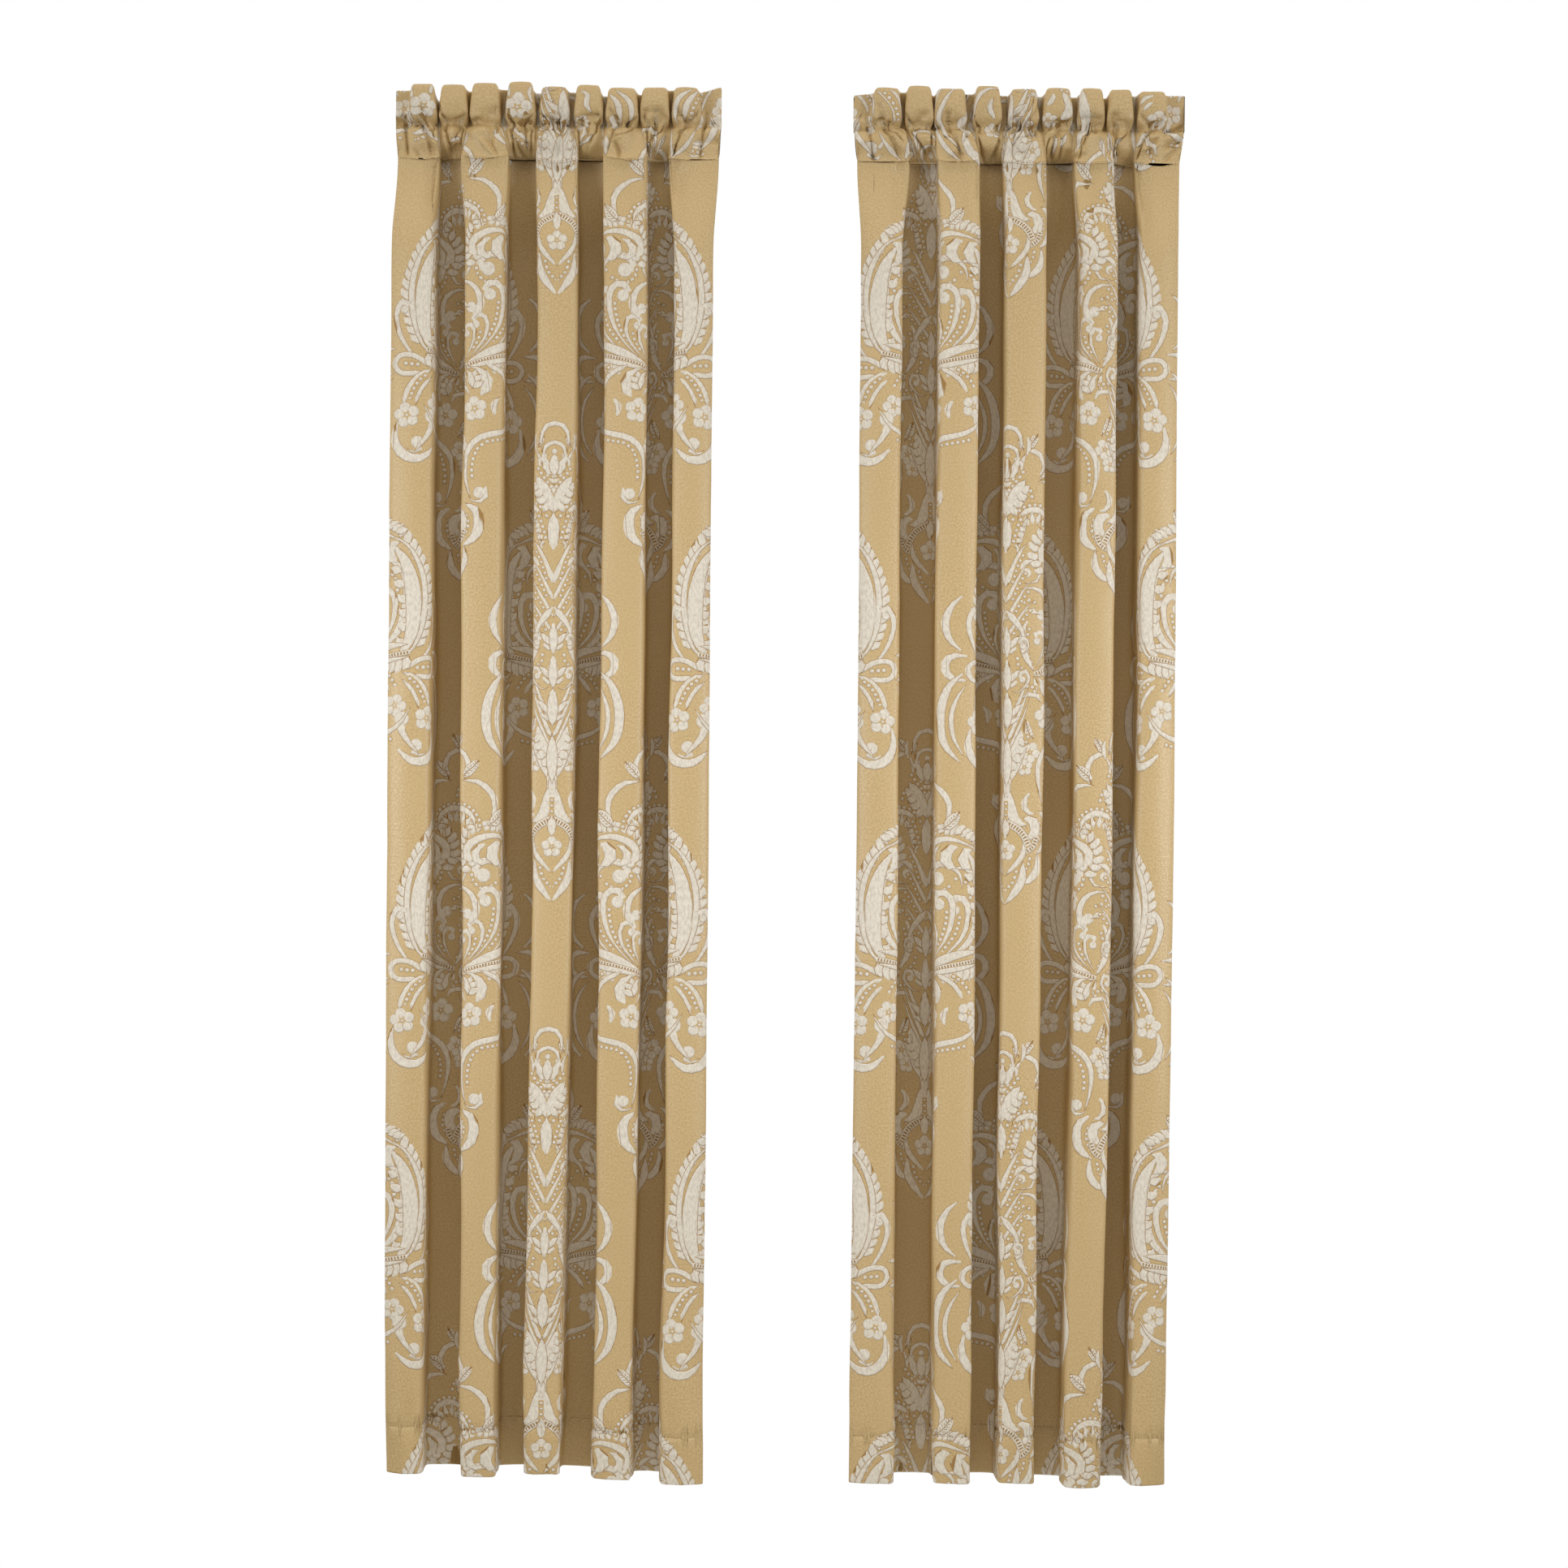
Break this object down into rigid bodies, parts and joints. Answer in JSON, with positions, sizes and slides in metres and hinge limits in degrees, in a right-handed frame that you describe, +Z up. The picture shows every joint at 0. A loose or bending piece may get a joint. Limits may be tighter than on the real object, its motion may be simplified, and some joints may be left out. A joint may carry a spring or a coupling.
{
  "type": "pair of rod-pocket curtain panels",
  "caption": "Pair of gathered damask curtain panels with stand-up ruffled headers over hollow rod pockets, hanging in deep folds to a hemmed edge.",
  "frame": {"origin": "on the centre line of the rod that the pair shares, midway between the two headings", "axes": "+X along the rod to the right as seen from the room, +Y towards the window, +Z up"},
  "size_m": [1.2184, 0.082, 2.1485],
  "materials": {
    "panel_cloth": "gold satin jacquard with an ivory damask figure, crepe ground",
    "heading_cloth": "the same gold satin jacquard, gathered and shinier where it is pulled tight"
  },
  "bodies": {
    "root": {"left_panel": "panel_cloth", "left_heading": "heading_cloth", "right_panel": "panel_cloth", "right_heading": "heading_cloth"}
  },
  "joints": []
}
